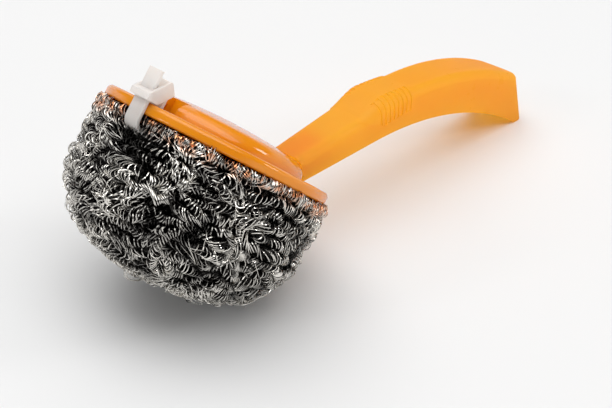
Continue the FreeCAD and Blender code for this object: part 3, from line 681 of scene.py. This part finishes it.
def nylon(name, deep, light, rough, through):
    """The cable tie's milky plastic, with painted shade on the strap below the rim."""
    look = Look(name, NYLON_GRAIN, **NYLON_INSIDE)
    tint = look.tint(deep, light)
    height = look.math("DIVIDE", look.head_place()[2], MM)
    # Painted shade: the colour is darker low on the strap
    look.feed("Base Color", look.scale(tint, look.spread(height, STRAP_PAINTED_SHADE, 1.0, *STRAP_FADE)))
    look.surface(*rough)
    look.glow_through(tint, through)
    return look.material


# Painted shade deep in the ball: how deep, in millimetres, the wire's colour is left unshaded, where its painted shade
# is darkest, and the share of the colour left there
SHADE_FROM_DEPTH, SHADE_DEEPEST = 0.3, 2.05
SHADE_LEFT = 0.04
# Painted glints: orange reflections of the plate painted into the wire's colour next to it: from which height to
# which, their patches, colour and share
GLINT_FADE = (-7.5, -3.0)
GLINT_NOISE = (380.0, 2.0)
GLINT_PATCH = (0.42, 0.60)
GLINT_COLOUR = (0.95, 0.30, 0.03)
GLINT_SHARE = 0.75


def ball_depth(look, x, y, z):
    """Depth under the drum's surface in millimetres, from the place in the head's frame."""
    r = look.math("MAXIMUM", look.math("SUBTRACT", look.hypot(x, y), CORNER_AT[0] * MM), 0.0)
    z = look.math("MINIMUM", look.math("SUBTRACT", z, CORNER_AT[1] * MM), 0.0)
    return look.math("SUBTRACT", CORNER_R, look.math("DIVIDE", look.hypot(r, z), MM))


def steel(name, dark, light, rough):
    """Bare wire, with shade painted into its colour deep in the ball and orange glints of the plate painted into its
    colour next to it.
    """
    look = Look(name, STEEL_GRAIN, Metallic=1.0)
    x, y, z = look.head_place()
    # Painted reflection: the plate's orange is mixed into the wire's colour near the rim
    near = look.spread(look.math("DIVIDE", z, MM), 0.0, GLINT_SHARE, *GLINT_FADE)
    patch = look.spread(look.noise(*GLINT_NOISE), 0.0, 1.0, *GLINT_PATCH)
    tint = look.blend(look.math("MULTIPLY", near, patch), look.tint(dark, light), GLINT_COLOUR)
    # Painted shade: the wire's colour darkens with depth in the ball
    painted_shade = look.spread(ball_depth(look, x, y, z), 1.0, SHADE_LEFT, SHADE_FROM_DEPTH, SHADE_DEEPEST)
    look.feed("Base Color", look.scale(tint, painted_shade))
    look.surface(*rough)
    return look.material


def dress(node, material):
    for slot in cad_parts[node].material_slots:
        slot.material = material


# ---------------------------------------------------------------- stage

FLOOR_HALF = 5.0
FLOOR_DROP = 0.0001
FLOOR_VALUES = {"Base Color": (0.80, 0.80, 0.80, 1.0), "Roughness": 0.7, "Specular IOR Level": 0.2}
# The studio round the part: a pale sweep at the horizon, a dim room over it and a wide light overhead
SKY = ((0.0, 0.75), (0.16, 0.75), (0.30, 0.12), (0.64, 0.12), (0.92, 1.0))
SKY_LIGHT = 1.3
# name, place, what it points at, width, depth, power
LAMPS = (
    ("key", (-0.05, 0.0, 1.5), (0.03, 0.0, 0.03), 3.4, 1.0, 16.3),
    ("back", (0.8, 1.0, 0.75), (0.06, 0.0, 0.02), 0.8, 0.8, 1.7),
    ("left", (-1.25, 0.37, 0.8), (0.0, 0.0, 0.04), 0.27, 0.27, 1.6),
    ("right", (0.85, -0.9, 0.55), (0.06, 0.0, 0.03), 0.3, 0.3, 2.5),
)


def make_floor():
    mesh = bpy.data.meshes.new("floor")
    h = FLOOR_HALF
    mesh.from_pydata([(-h, -h, 0), (h, -h, 0), (h, h, 0), (-h, h, 0)], [], [(0, 1, 2, 3)])
    floor = bpy.data.objects.new("floor", mesh)
    floor.location.z = -FLOOR_DROP
    bpy.context.scene.collection.objects.link(floor)
    material = bpy.data.materials.new("floor")
    material.use_nodes = True
    shader = material.node_tree.nodes["Principled BSDF"]
    for key, value in FLOOR_VALUES.items():
        shader.inputs[key].default_value = value
    mesh.materials.append(material)


def make_sky():
    world = bpy.data.worlds.new("world")
    bpy.context.scene.world = world
    world.use_nodes = True
    tree = world.node_tree
    back = tree.nodes["Background"]
    way = tree.nodes.new("ShaderNodeTexCoord")
    parts = tree.nodes.new("ShaderNodeSeparateXYZ")
    shade = tree.nodes.new("ShaderNodeValToRGB")
    fill_ramp(shade.color_ramp, [(height, (light, light, light)) for height, light in SKY])
    tree.links.new(way.outputs["Generated"], parts.inputs["Vector"])
    tree.links.new(parts.outputs["Z"], shade.inputs["Fac"])
    tree.links.new(shade.outputs["Color"], back.inputs["Color"])
    back.inputs["Strength"].default_value = SKY_LIGHT


def make_lamps():
    for name, place, aim, width, depth, power in LAMPS:
        lamp = bpy.data.lights.new(name, "AREA")
        lamp.energy = power
        lamp.shape = "RECTANGLE"
        lamp.size, lamp.size_y = width, depth
        made = bpy.data.objects.new(name, lamp)
        made.location = place
        made.rotation_mode = "QUATERNION"
        made.rotation_quaternion = (Vector(aim) - Vector(place)).to_track_quat("-Z", "Y")
        bpy.context.scene.collection.objects.link(made)


# ---------------------------------------------------------------- the scene

make_camera()
make_floor()
make_sky()
make_lamps()
plate_look = orange("plate_plastic", deep=(0.98, 0.35, 0.005), light=(1.0, 0.38, 0.006), rough=(0.08, 0.16),
                    through=0.3, coat=0.6)
handle_look = orange("handle_plastic", deep=(1.0, 0.67, 0.09), light=(1.0, 0.70, 0.10), rough=(0.26, 0.40),
                     through=0.75, coat=0.0)
nylon_look = nylon("nylon", deep=(0.97, 0.91, 0.86), light=(0.99, 0.95, 0.91), rough=(0.28, 0.42), through=0.3)
wire_look = steel("scourer_wire", dark=(0.58, 0.56, 0.515), light=(0.90, 0.865, 0.81), rough=(0.09, 0.18))
# Dark steel for the heart: painted shade between the curls
inside_shade_look = steel("scourer_inside_shade", dark=(0.10, 0.095, 0.09), light=(0.20, 0.19, 0.18), rough=(0.4, 0.6))
dress("head_plate", plate_look)
dress("handle", handle_look)
dress("cable_tie", nylon_look)
dress("tie_pawl", nylon_look)
make_scourer(wire_look, inside_shade_look)

bpy.context.scene.view_settings.view_transform = "Standard"
